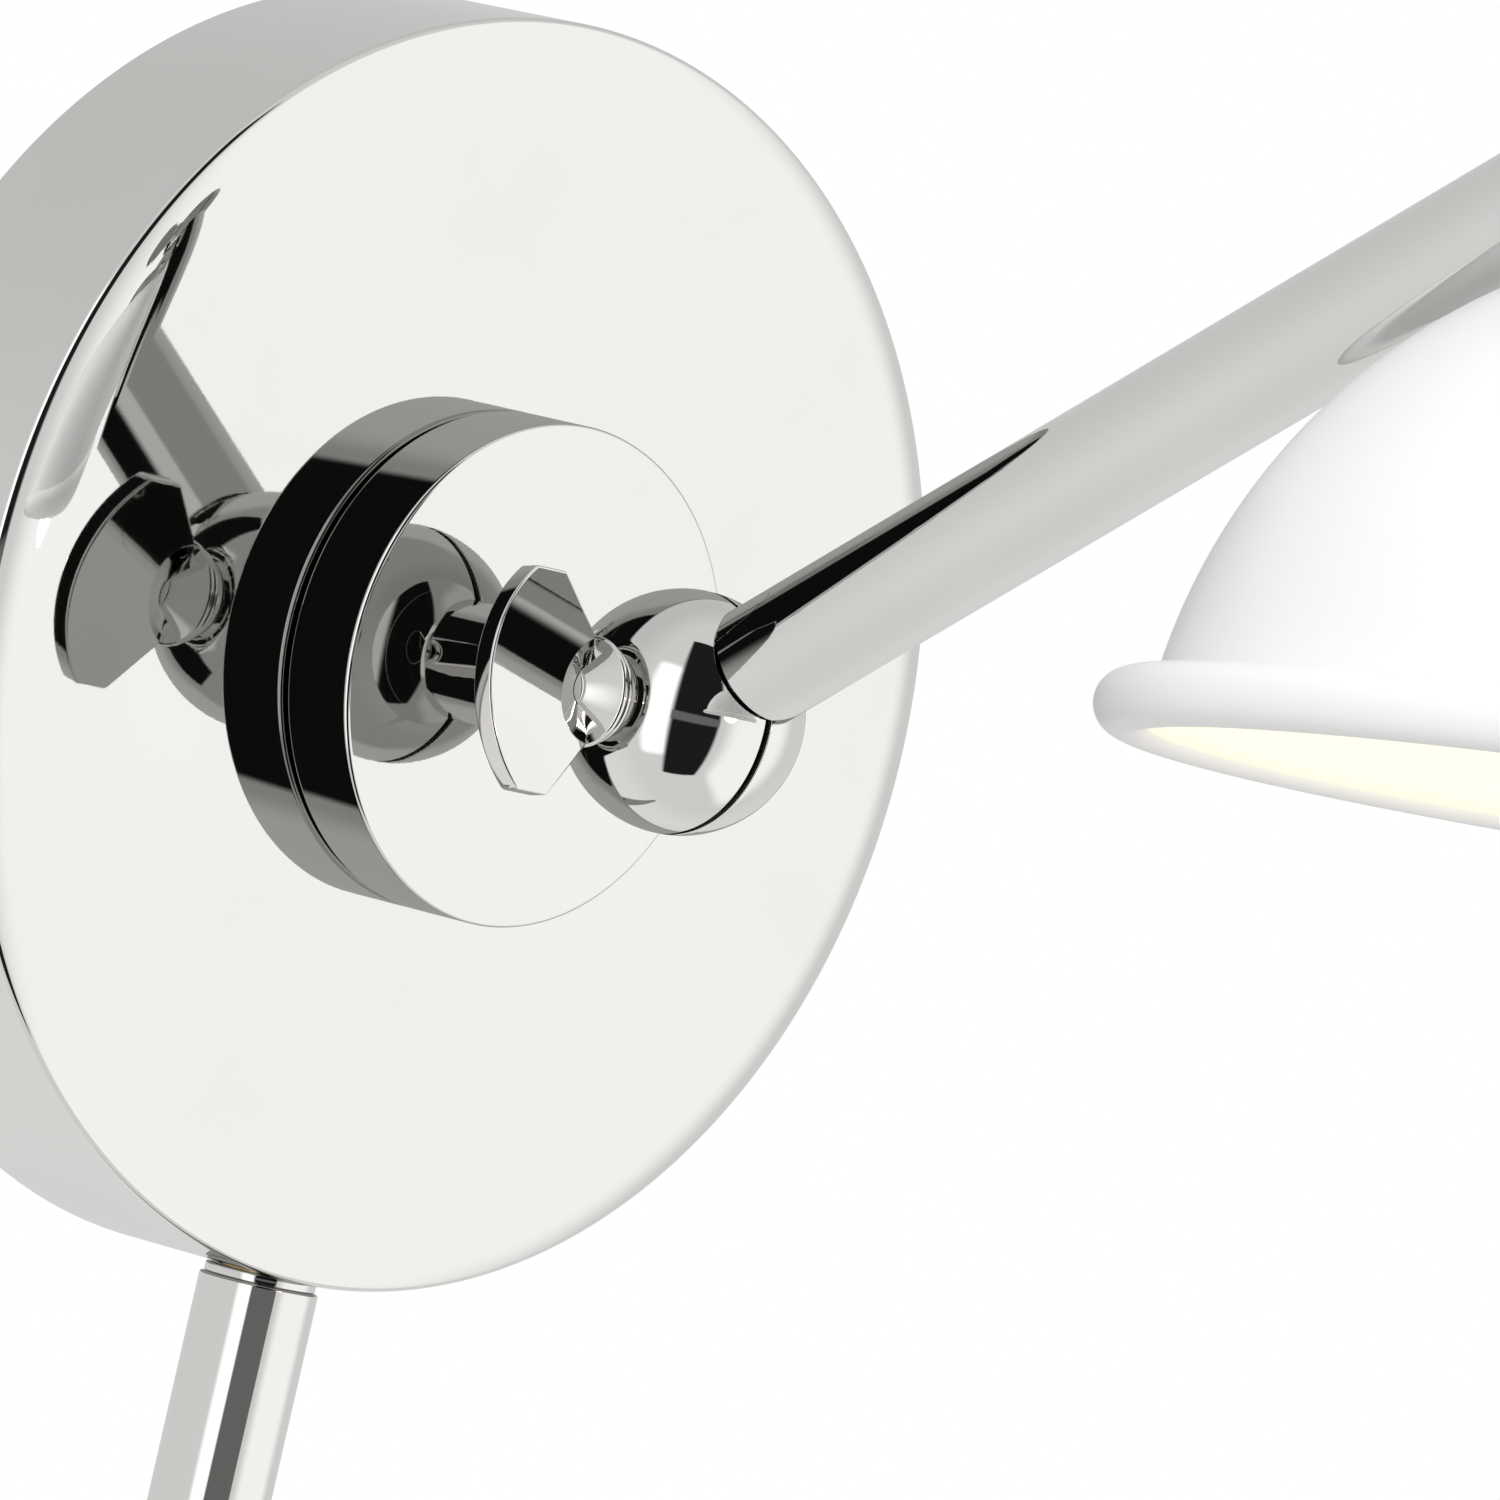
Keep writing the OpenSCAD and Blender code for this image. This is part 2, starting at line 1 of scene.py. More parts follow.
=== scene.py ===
# %% [markdown]
# # A swing arm wall sconce, piece by piece
# The lamp hangs on a wall: a round backplate, a hub that swivels, two split balls that wing screws lock,
# an arm between them and a domed shade. The design already exists as solid bodies with joints. This lesson
# gives every piece its finished surface, without moving or resizing anything.
# We start by loading those bodies. Their box is kept, because the finished lamp has to stay inside it.

# %% Load the frame
import json
import math

import bmesh
import bpy
from mathutils import Matrix, Vector


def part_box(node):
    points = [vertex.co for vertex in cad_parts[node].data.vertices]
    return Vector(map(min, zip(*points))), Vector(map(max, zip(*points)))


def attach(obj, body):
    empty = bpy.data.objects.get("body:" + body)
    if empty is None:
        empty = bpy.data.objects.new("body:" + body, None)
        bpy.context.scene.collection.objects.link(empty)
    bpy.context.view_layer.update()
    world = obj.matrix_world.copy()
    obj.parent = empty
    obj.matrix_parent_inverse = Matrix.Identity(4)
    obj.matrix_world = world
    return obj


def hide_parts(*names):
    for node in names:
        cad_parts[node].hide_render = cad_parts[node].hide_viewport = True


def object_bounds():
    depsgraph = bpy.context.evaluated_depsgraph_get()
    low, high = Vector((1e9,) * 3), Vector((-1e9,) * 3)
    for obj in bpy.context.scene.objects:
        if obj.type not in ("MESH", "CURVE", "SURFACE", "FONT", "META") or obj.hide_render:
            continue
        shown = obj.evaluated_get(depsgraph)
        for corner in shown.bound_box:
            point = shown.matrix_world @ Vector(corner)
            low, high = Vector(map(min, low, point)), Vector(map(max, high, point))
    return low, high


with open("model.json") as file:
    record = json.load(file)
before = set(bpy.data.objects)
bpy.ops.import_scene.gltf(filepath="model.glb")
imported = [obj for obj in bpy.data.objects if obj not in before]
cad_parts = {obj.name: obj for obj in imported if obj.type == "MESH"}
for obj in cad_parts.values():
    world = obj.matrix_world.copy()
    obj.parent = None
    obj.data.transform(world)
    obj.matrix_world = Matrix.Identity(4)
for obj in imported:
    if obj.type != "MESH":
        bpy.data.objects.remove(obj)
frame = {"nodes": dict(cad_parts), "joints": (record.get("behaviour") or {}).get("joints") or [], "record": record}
cad_low, cad_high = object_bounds()
print("size in mm:", [round(v * 1000, 1) for v in cad_high - cad_low])

# %% [markdown]
# Every place in this file follows from a few points of the design. The two balls sit on the tilt joints, so
# the joints give their centres, and the line between them is the arm. The bulb's globe gives the line along
# which the head hangs. Sizes that a box can give are read from it. The rest are named here in millimetres.

# %% Where things are
MM = 0.001
JOINT = {j["name"]: j for j in frame["joints"]}
WALL_BALL = Vector(JOINT["arm_tilt"]["pos_m"])
OUTER_BALL = Vector(JOINT["head_tilt"]["pos_m"])
RIGHT = Vector((1, 0, 0))
OUT = Vector((0, -1, 0))
DOWN = Vector((0, 0, -1))
ARM = (OUTER_BALL - WALL_BALL).normalized()
ARM_LENGTH = (OUTER_BALL - WALL_BALL).length

glass_low, glass_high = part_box("bulb_glass")
GLOBE_R = (glass_high.x - glass_low.x) / 2
globe_centre = Vector((0, (glass_low.y + glass_high.y) / 2, glass_low.z + GLOBE_R))
HEAD = (globe_centre - OUTER_BALL).normalized()
GLOBE_DROP = (globe_centre - OUTER_BALL).length



def span(node, origin, axis):
    """The least and greatest distance of a node's points from origin along axis."""
    body = frame["nodes"][node]
    heights = [(body.matrix_world @ v.co - origin).dot(axis) for v in body.data.vertices]
    return min(heights), max(heights)


FIT = 0.05 * MM
NIPPLE_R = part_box("hub_nipple")[1].x
TUBE_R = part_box("stem")[1].x
TUBE_IN_R = NIPPLE_R + FIT
BALL_R = 12 * MM
print("arm length in mm:", round(ARM_LENGTH / MM, 2), " globe radius:", round(GLOBE_R / MM, 2))

# %% [markdown]
# Nearly every piece of a lamp like this is turned or spun, so one helper does most of the work: it draws half
# of the piece's section and spins it round. A section could also be swept as a curve, but a spun mesh keeps
# the true sheet thickness and closes by itself. The sharp corners then get a small round, because on polished
# metal it is the rounded edge that catches the light. Weighted normals keep the flat faces truly flat.

# %% Helpers that shape a mesh
SHARP = math.radians(28)
EDGE_STEPS = 3
SPIN_STEPS = 192


def stand(origin, axis):
    """The place whose own Z runs along axis from origin."""
    across = RIGHT if abs(axis.normalized().x) < 0.9 else Vector((0, 0, 1))
    z = axis.normalized()
    y = z.cross(across).normalized()
    return Matrix.Translation(origin) @ Matrix((y.cross(z), y, z)).transposed().to_4x4()


def arc(centre_r, centre_h, radius, start, end, steps=12):
    """Points along an arc in a section, with angles in degrees: 0 points outwards and 90 along the axis."""
    turns = [math.radians(start + (end - start) * i / steps) for i in range(steps + 1)]
    return [(centre_r + radius * math.cos(t), centre_h + radius * math.sin(t)) for t in turns]


def soften(bm, width):
    """Rounds each corner that is sharper than SHARP."""
    if width <= 0:
        return
    corners = [e for e in bm.edges if e.is_manifold and e.calc_face_angle(0) > SHARP]
    bmesh.ops.bevel(bm, geom=corners, offset=width, offset_type="OFFSET", affect="EDGES",
                    segments=EDGE_STEPS, profile=0.5, material=-1, clamp_overlap=True)


def to_piece(bm, name, place=Matrix.Identity(4)):
    """Puts a bmesh at its place and makes it an object that sits at the origin."""
    bmesh.ops.transform(bm, matrix=place, verts=bm.verts)
    for face in bm.faces:
        face.smooth = True
    mesh = bpy.data.meshes.new(name)
    bm.to_mesh(mesh)
    bm.free()
    piece = bpy.data.objects.new(name, mesh)
    bpy.context.scene.collection.objects.link(piece)
    return piece


def spun(name, section, place, on_axis=False, edge=0.2 * MM, steps=SPIN_STEPS):
    """A turned piece. The section is a list of (radius, height), closed unless both its ends are on the axis."""
    bm = bmesh.new()
    points = [bm.verts.new((r, 0, h)) for r, h in section]
    lines = [bm.edges.new(pair) for pair in zip(points, points[1:])]
    if not on_axis:
        lines.append(bm.edges.new((points[-1], points[0])))
    bmesh.ops.spin(bm, geom=points + lines, cent=(0, 0, 0), axis=(0, 0, 1), dvec=(0, 0, 0),
                   angle=2 * math.pi, steps=steps, use_merge=True, use_duplicate=False)
    bmesh.ops.remove_doubles(bm, verts=bm.verts, dist=0.0005 * MM)
    bmesh.ops.recalc_face_normals(bm, faces=bm.faces)
    soften(bm, edge)
    return to_piece(bm, name, place)


def joined(piece, tool, how):
    """Adds a second solid to a piece (UNION) or cuts it away (DIFFERENCE), and removes the tool."""
    step = piece.modifiers.new("join", "BOOLEAN")
    step.operation = how
    step.solver = "EXACT"
    step.object = tool
    now = bpy.context.evaluated_depsgraph_get()
    mesh = bpy.data.meshes.new_from_object(piece.evaluated_get(now))
    piece.modifiers.clear()
    piece.data = mesh
    bpy.data.objects.remove(tool)
    return piece


def rounded(piece, width):
    """Rounds the corners that a cut has left."""
    bm = bmesh.new()
    bm.from_mesh(piece.data)
    bmesh.ops.remove_doubles(bm, verts=bm.verts, dist=0.002 * MM)
    bmesh.ops.dissolve_degenerate(bm, edges=bm.edges, dist=0.002 * MM)
    soften(bm, width)
    for face in bm.faces:
        face.smooth = True
    bm.to_mesh(piece.data)
    bm.free()
    return piece


# %% [markdown]
# A finished piece needs three facts: the node it stands for, the body it moves with and its material. The
# first one leads to the second, so a single helper looks it up. Nuts, washers and brackets are flat-sided,
# and their solids are right already. For those a merged copy of the solid's mesh is enough: its flat faces
# are dissolved into whole ones and its corners are broken, as a file would.

# %% Helpers that place a piece
BODY_OF = {node: body for body, nodes in frame["record"]["behaviour"]["bodies"].items() for node in nodes}
FLAT = math.radians(0.6)


def settle(piece, node, *materials):
    """The piece takes the node's place and body, and wears these materials."""
    piece.data.materials.clear()
    for material in materials:
        piece.data.materials.append(material)
    weighted = piece.modifiers.new("even normals", "WEIGHTED_NORMAL")
    weighted.mode = "FACE_AREA"
    weighted.weight = 80
    weighted.keep_sharp = True
    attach(piece, BODY_OF[node])
    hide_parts(node)
    print(f"{piece.name}: {len(piece.data.polygons)} faces, rides on {BODY_OF[node]}")
    return piece


def filed(node, name, width):
    """A copy of a flat-sided solid with its corners broken."""
    bm = bmesh.new()
    bm.from_mesh(frame["nodes"][node].data)
    bmesh.ops.remove_doubles(bm, verts=bm.verts, dist=0.001 * MM)
    bmesh.ops.dissolve_limit(bm, angle_limit=FLAT, verts=bm.verts, edges=bm.edges)
    soften(bm, width)
    return to_piece(bm, name)


def dressed(node, material):
    """A solid that stays as it is and gets a finished material."""
    slots = frame["nodes"][node].data.materials
    slots.clear()
    slots.append(material)
    print(f"{node}: kept, wears {material.name}")


# %% [markdown]
# ## Finishes
# Metal that has been buffed by hand isn't equally bright all over: the wheel leaves a faint haze in broad
# patches and hairlines finer than a tenth of a millimetre. Several finishes need that same effect, so it is
# built once as a group with its own inputs. It gives out a roughness, a tint mask and a height, and leaves the
# shader to each material.

# %% A group for buffed metal


def socket(group, name, way, kind, value=None):
    made = group.interface.new_socket(name=name, in_out=way, socket_type=kind)
    if value is not None:
        made.default_value = value


def new_group(name, inputs, outputs):
    group = bpy.data.node_groups.new(name, "ShaderNodeTree")
    for label, value in inputs:
        socket(group, label, "INPUT", "NodeSocketFloat", value)
    for label in outputs:
        socket(group, label, "OUTPUT", "NodeSocketFloat")
    return group, group.nodes.new("NodeGroupInput"), group.nodes.new("NodeGroupOutput")


def noise(tree, vector, scale, detail=2.0):
    node = tree.nodes.new("ShaderNodeTexNoise")
    tree.links.new(vector, node.inputs["Vector"])
    node.inputs["Detail"].default_value = detail
    if isinstance(scale, (int, float)):
        node.inputs["Scale"].default_value = scale
    else:
        tree.links.new(scale, node.inputs["Scale"])
    return node.outputs["Fac"]


def spread(tree, value, low, high):
    """Stretches a noise value, which stays near its middle, to run from low to high."""
    node = tree.nodes.new("ShaderNodeMapRange")
    node.inputs["From Min"].default_value = 0.3
    node.inputs["From Max"].default_value = 0.7
    tree.links.new(value, node.inputs["Value"])
    for label, end in (("To Min", low), ("To Max", high)):
        if isinstance(end, (int, float)):
            node.inputs[label].default_value = end
        else:
            tree.links.new(end, node.inputs[label])
    return node.outputs["Result"]


def stretched(tree, vector, scale):
    node = tree.nodes.new("ShaderNodeMapping")
    node.inputs["Scale"].default_value = scale
    tree.links.new(vector, node.inputs["Vector"])
    return node.outputs["Vector"]


buffed, inside, result = new_group(
    "buffed metal", [("Bright", 0.02), ("Hazy", 0.06), ("Patch scale", 45.0)],
    ["Roughness", "Tint", "Height"])
where = buffed.nodes.new("ShaderNodeTexCoord").outputs["Object"]
patches = noise(buffed, where, inside.outputs["Patch scale"], 3.0)
hairlines = noise(buffed, stretched(buffed, where, (900, 900, 9000)), 1.0, 1.0)
buffed.links.new(spread(buffed, patches, inside.outputs["Bright"], inside.outputs["Hazy"]),
                 result.inputs["Roughness"])
buffed.links.new(spread(buffed, patches, 0.0, 1.0), result.inputs["Tint"])
buffed.links.new(hairlines, result.inputs["Height"])
print("group made:", buffed.name)

# %% [markdown]
# The second group is a grain: one for sprayed paint, moulded plastic, fired glaze and pressed fibre alike.
# Only its scale and strength differ, which is why those are inputs.

# %% A group for painted, moulded and glazed skins
grained, inside, result = new_group(
    "skin grain", [("Grain scale", 1500.0), ("Smooth", 0.3), ("Rough", 0.4)], ["Roughness", "Tint", "Height"])
where = grained.nodes.new("ShaderNodeTexCoord").outputs["Object"]
fine = noise(grained, where, inside.outputs["Grain scale"], 2.0)
broad = noise(grained, where, 30.0, 3.0)
grained.links.new(spread(grained, fine, inside.outputs["Smooth"], inside.outputs["Rough"]),
                  result.inputs["Roughness"])
grained.links.new(spread(grained, broad, 0.0, 1.0), result.inputs["Tint"])
grained.links.new(fine, result.inputs["Height"])
print("group made:", grained.name)

# %% [markdown]
# A material places one of the groups, mixes two near shades of its colour by the tint mask, and sends the
# height through a Bump node. What is the same all over, such as the coat or the strength of the glow, is set
# on the shader's own socket.

# %% Make a material


def finish_of(name, group, values, light, dark, bump, metallic=0.0, **constants):
    """A material: two shades of one colour, a roughness and a bump from the group, constants by socket name."""
    material = bpy.data.materials.new(name)
    material.use_nodes = True
    tree = material.node_tree
    shader = tree.nodes["Principled BSDF"]
    effect = tree.nodes.new("ShaderNodeGroup")
    effect.node_tree = group
    for label, value in values.items():
        effect.inputs[label].default_value = value
    shades = tree.nodes.new("ShaderNodeMix")
    shades.data_type = "RGBA"
    shades.inputs[6].default_value = (*light, 1)
    shades.inputs[7].default_value = (*dark, 1)
    tree.links.new(effect.outputs["Tint"], shades.inputs[0])
    tree.links.new(shades.outputs[2], shader.inputs["Base Color"])
    tree.links.new(effect.outputs["Roughness"], shader.inputs["Roughness"])
    bumps = tree.nodes.new("ShaderNodeBump")
    bumps.inputs["Strength"].default_value = bump
    bumps.inputs["Distance"].default_value = 0.01 * MM
    tree.links.new(effect.outputs["Height"], bumps.inputs["Height"])
    tree.links.new(bumps.outputs["Normal"], shader.inputs["Normal"])
    shader.inputs["Metallic"].default_value = metallic
    for label, value in constants.items():
        shader.inputs[label.replace("_", " ")].default_value = value
    return material


# %% [markdown]
# Polished nickel is a mirror with a slightly warm cast, so nearly all of its look comes from what stands
# round it. Zinc plate, brass and blued steel are duller metals for what the backplate hides.

# %% The metals
nickel = finish_of("polished nickel", buffed, {"Bright": 0.012, "Hazy": 0.035},
                   (0.90, 0.893, 0.872), (0.88, 0.871, 0.848), 0.02, 1.0)
zinc = finish_of("zinc plate", buffed, {"Bright": 0.28, "Hazy": 0.45, "Patch scale": 160.0},
                 (0.62, 0.63, 0.64), (0.50, 0.51, 0.53), 0.35, 1.0)
blued = finish_of("blued spring steel", buffed, {"Bright": 0.25, "Hazy": 0.4},
                  (0.20, 0.20, 0.22), (0.13, 0.13, 0.15), 0.2, 1.0)
brass = finish_of("turned brass", buffed, {"Bright": 0.16, "Hazy": 0.3, "Patch scale": 90.0},
                  (0.80, 0.60, 0.29), (0.70, 0.50, 0.22), 0.3, 1.0)
tin = finish_of("rolled bulb cap", buffed, {"Bright": 0.2, "Hazy": 0.34},
                (0.74, 0.74, 0.74), (0.62, 0.62, 0.63), 0.25, 1.0)
print("metals:", [m.name for m in (nickel, zinc, blued, brass, tin)])

# %% [markdown]
# The shade is sprayed: satin white outside and a warm cream inside that throws the light down softly. The
# holder is glazed, the ring and the hub's bush are moulded, the discs in the knuckles are pressed fibre.

# %% The skins and the glass
enamel = finish_of("satin white enamel", grained, {"Grain scale": 1400.0, "Smooth": 0.34, "Rough": 0.42},
                   (0.90, 0.90, 0.90), (0.88, 0.88, 0.885), 0.25, Coat_Weight=0.15, Coat_Roughness=0.25)
cream = finish_of("cream enamel", grained, {"Grain scale": 1400.0, "Smooth": 0.45, "Rough": 0.55},
                  (0.95, 0.93, 0.85), (0.94, 0.92, 0.83), 0.25)
porcelain = finish_of("glazed porcelain", grained, {"Grain scale": 400.0, "Smooth": 0.12, "Rough": 0.2},
                      (0.88, 0.87, 0.84), (0.84, 0.83, 0.79), 0.1, Coat_Weight=0.5)
nylon = finish_of("moulded nylon", grained, {"Grain scale": 2200.0, "Smooth": 0.42, "Rough": 0.55},
                  (0.84, 0.83, 0.80), (0.79, 0.78, 0.74), 0.4)
fibre = finish_of("pressed fibre", grained, {"Grain scale": 2600.0, "Smooth": 0.75, "Rough": 0.95},
                  (0.030, 0.029, 0.028), (0.018, 0.017, 0.016), 0.9)
green = finish_of("green dyed steel", buffed, {"Bright": 0.3, "Hazy": 0.42},
                  (0.08, 0.36, 0.13), (0.05, 0.25, 0.09), 0.2, 0.7)
opal = finish_of("opal glass", grained, {"Grain scale": 300.0, "Smooth": 0.16, "Rough": 0.24},
                 (0.98, 0.95, 0.88), (0.97, 0.93, 0.85), 0.05,
                 Emission_Color=(1.0, 0.90, 0.72, 1), Emission_Strength=4.0)
print("skins:", [m.name for m in (enamel, cream, porcelain, nylon, fibre, green, opal)])

# %% [markdown]
# ## Backplate and hub
# The backplate is a shallow pan pressed from 1.5 mm sheet. Its face is flat in the middle, falls away through a
# broad shallow shoulder and turns down at a tight edge. Spinning that section gives both curves their true
# shape inside and out, and the shoulder is what bends the reflections near the rim.

# %% Backplate
PLATE_SHEET = 1.5 * MM
PLATE_EDGE = 1 * MM
SHOULDER_WIDE = 7 * MM
SHOULDER_R = 15 * MM
plate_low, plate_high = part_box("backplate")
plate_r, plate_depth = plate_high.x, -plate_low.y
hub_hole = NIPPLE_R + 1 * MM + FIT
flat_r = plate_r - SHOULDER_WIDE


def shoulder(inset, steps):
    """From the flat face over the shoulder and round the tight edge, drawn in by inset."""
    curve, edge = SHOULDER_R - inset, max(PLATE_EDGE - inset, 0)
    reach = plate_r - inset - edge - flat_r
    turn = math.degrees(math.acos(reach / (curve - edge)))
    middle = plate_depth - SHOULDER_R
    edge_h = middle + math.sqrt((curve - edge) ** 2 - reach ** 2)
    line = arc(flat_r, middle, curve, 90, turn, steps)
    return line + arc(plate_r - inset - edge, edge_h, edge, turn, 0, 10)[1:] if edge > 0 else line


pan = [(hub_hole, plate_depth)] + shoulder(0, 24)
pan += [(plate_r, 0), (plate_r - PLATE_SHEET, 0)] + list(reversed(shoulder(PLATE_SHEET, 12)))
pan += [(hub_hole, plate_depth - PLATE_SHEET)]
settle(spun("backplate_pan", pan, stand(Vector(), OUT), edge=0.2 * MM, steps=320), "backplate", nickel)

# %% [markdown]
# The hub is a solid turned disc. Its edges are broken by half a millimetre, and that thin round is what draws
# the bright line round its rim.

# %% Hub disc
hub_low, hub_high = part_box("hub_disc")
hub = [(TUBE_IN_R, -hub_high.y), (hub_high.x, -hub_high.y), (hub_high.x, -hub_low.y), (TUBE_IN_R, -hub_low.y)]
settle(spun("hub_turning", hub, stand(Vector(), OUT), edge=0.5 * MM, steps=256), "hub_disc", nickel)

# %% [markdown]
# ## Knuckles
# Each knuckle is a ball sawn in half. One half belongs to the tube on one side of the joint and the other half
# to the tube on the other side, with a fibre disc between. A half is turned about the screw's axis, so its
# section holds the round outside, the wire channel and the screw hole. Its spigot, which goes into the tube,
# is a second turned solid joined on.

# %% Ball halves
SPLIT = 0.4 * MM
SEAT = BALL_R - 1.5 * MM
SCREW_R = 3 * MM
BORE_R = SCREW_R + FIT
BOSS_R = SCREW_R + 1.6 * MM
CHANNEL_R = BALL_R - 3.6 * MM
CHANNEL_DEEP = 4.6 * MM
THREAD_DEEP = BALL_R - 4.5 * MM
WIRE_R = NIPPLE_R - 2 * MM


def ball_arc(from_height, to_height, radius=BALL_R, steps=40):
    """The ball's outline between two heights above the split."""
    start = math.degrees(math.asin(from_height / radius))
    end = math.degrees(math.asin(to_height / radius))
    return arc(0, 0, radius, start, end, steps)


def ball_half(name, node, centre, side, along, spigot):
    """Side -1 carries the seat of the wing screw, and side 1 its thread."""
    channel = [(CHANNEL_R, SPLIT), (CHANNEL_R, CHANNEL_DEEP), (BOSS_R, CHANNEL_DEEP), (BOSS_R, SPLIT), (BORE_R, SPLIT)]
    if side < 0:
        section = [(BORE_R, SEAT)] + ball_arc(SEAT, SPLIT) + channel
    else:
        blind = THREAD_DEEP + 0.6 * MM
        section = ball_arc(BALL_R, SPLIT) + channel + [(BORE_R, blind), (0, blind)]
    half = spun(name, section, stand(centre, RIGHT * side), on_axis=side > 0, edge=0.12 * MM)
    start = CHANNEL_R + 0.6 * MM
    tube = [(WIRE_R, start), (NIPPLE_R, start), (NIPPLE_R, spigot), (WIRE_R, spigot)]
    joined(half, spun("spigot", tube, stand(centre, along), edge=0, steps=96), "UNION")
    wire_way = [(0, BOSS_R + 1 * MM), (WIRE_R, BOSS_R + 1 * MM), (WIRE_R, spigot + MM), (0, spigot + MM)]
    joined(half, spun("wire way", wire_way, stand(centre, along), on_axis=True, edge=0, steps=64), "DIFFERENCE")
    return settle(half, node, nickel)


HUB_FRONT = -hub_low.y
STEM_SPIGOT = -WALL_BALL.y - HUB_FRONT - 3.8 * MM
ARM_SPIGOT = BALL_R + 10 * MM
HEAD_SPIGOT = span("outer_ball_head_half", OUTER_BALL, HEAD)[1]
ball_half("wall_ball_near", "wall_ball_stem_half", WALL_BALL, -1, -OUT, STEM_SPIGOT)
ball_half("wall_ball_far", "wall_ball_arm_half", WALL_BALL, 1, ARM, ARM_SPIGOT)
ball_half("outer_ball_far", "outer_ball_arm_half", OUTER_BALL, 1, -ARM, ARM_SPIGOT)
ball_half("outer_ball_near", "outer_ball_head_half", OUTER_BALL, -1, HEAD, HEAD_SPIGOT)

# %% [markdown]
# The tubes end in a saddle that follows the ball, brazed to their own half and cut back a little to clear the
# other one. A saddle is hard to draw and easy to cut, so a plain tube has a ball taken out of each end, as a
# hole saw would take it.

# %% Stem and arm
SADDLE_GAP = 0.6 * MM


def saddle_cuts(tube, centre, side):
    """Takes a ball out of a tube, with extra room on the half that the tube doesn't belong to."""
    whole = ball_arc(BALL_R, -BALL_R, BALL_R, 64)
    whole = [(r * (1 + FIT / 2 / BALL_R), h * (1 + FIT / 2 / BALL_R)) for r, h in whole]
    joined(tube, spun("ball", whole, stand(centre, RIGHT), on_axis=True, edge=0), "DIFFERENCE")
    room = ball_arc(BALL_R + SADDLE_GAP, -SPLIT, BALL_R + SADDLE_GAP, 48) + [(0, -SPLIT)]
    joined(tube, spun("room", room, stand(centre, RIGHT * -side), on_axis=True, edge=0), "DIFFERENCE")


def hollow(name, start, end, origin, along):
    section = [(TUBE_IN_R, start), (TUBE_R, start), (TUBE_R, end), (TUBE_IN_R, end)]
    return spun(name, section, stand(origin, along), edge=0, steps=256)


stem = hollow("stem_tube", FIT, -WALL_BALL.y - HUB_FRONT, OUT * HUB_FRONT, OUT)
saddle_cuts(stem, WALL_BALL, -1)
settle(rounded(stem, 0.08 * MM), "stem", nickel)
arm = hollow("arm_pipe", 0, ARM_LENGTH, WALL_BALL, ARM)
saddle_cuts(arm, WALL_BALL, 1)
saddle_cuts(arm, OUTER_BALL, 1)
settle(rounded(arm, 0.08 * MM), "arm_tube", nickel)

# %% [markdown]
# A wing screw is turned first and its blade is stamped from 2.3 mm plate, then brazed on. So it is made that
# way here: a turned shank and collar, and a flat outline that is extruded and has its rim rounded. The
# outline has straight ends, sloping shoulders and one long arc.

# %% Wing screws
WING_HALF = 10.9 * MM
WING_THICK = 2.3 * MM
WING_BULGE = 5.1 * MM
WING_NECK = SEAT + 3.2 * MM
WING_SHOULDER = WING_NECK + 4.7 * MM
WING_FLAT_END = WING_SHOULDER + 4 * MM
COLLAR_R = SCREW_R + 1.15 * MM
NECK_HALF = COLLAR_R + 1.15 * MM


def wing_blade(name, place):
    radius = (WING_BULGE ** 2 + WING_HALF ** 2) / (2 * WING_BULGE)
    middle = WING_FLAT_END + WING_BULGE - radius
    reach = math.degrees(math.asin(WING_HALF / radius))
    curve = arc(0, middle, radius, 90 - reach, 90 + reach, 40)
    outline = [(NECK_HALF, WING_NECK), (WING_HALF, WING_SHOULDER)] + curve
    outline += [(-WING_HALF, WING_SHOULDER), (-NECK_HALF, WING_NECK)]
    bm = bmesh.new()
    face = bm.faces.new([bm.verts.new((x, -WING_THICK / 2, h)) for x, h in outline])
    grown = bmesh.ops.extrude_face_region(bm, geom=[face])["geom"]
    moved = [v for v in grown if isinstance(v, bmesh.types.BMVert)]
    bmesh.ops.translate(bm, verts=moved, vec=(0, WING_THICK, 0))
    bmesh.ops.recalc_face_normals(bm, faces=bm.faces)
    soften(bm, 0.28 * MM)
    return to_piece(bm, name, place)


def wing_screw(name, node, centre, lean):
    """Lean is the blade's turn about the screw's axis, from upright."""
    place = Matrix.Translation(centre) @ Matrix.Rotation(math.radians(lean), 4, "X")
    place = place @ Matrix.Rotation(math.radians(-90), 4, "Y")
    section = [(0, -THREAD_DEEP), (SCREW_R, -THREAD_DEEP), (SCREW_R, SEAT + FIT), (COLLAR_R, SEAT + FIT)]
    section += [(COLLAR_R, SEAT + 1.2 * MM)] + arc(COLLAR_R + 0.5 * MM, SEAT + 1.7 * MM, 0.4 * MM, -90, 90, 8)
    section += [(COLLAR_R, SEAT + 2.2 * MM)] + arc(COLLAR_R + 0.9 * MM, SEAT + 2.75 * MM, 0.45 * MM, -90, 60, 8)
    section += [(COLLAR_R + 0.4 * MM, SEAT + 3.3 * MM), (2 * MM, SEAT + 4.9 * MM), (0, SEAT + 5 * MM)]
    screw = spun(name, section, place, on_axis=True, edge=0.06 * MM, steps=128)
    joined(screw, wing_blade("blade", place), "UNION")
    return settle(screw, node, nickel)


WALL_WING_LEAN = -11
OUTER_WING_LEAN = 24
wing_screw("wall_wing", "wall_wing_screw", WALL_BALL, WALL_WING_LEAN)
wing_screw("outer_wing", "outer_wing_screw", OUTER_BALL, OUTER_WING_LEAN)

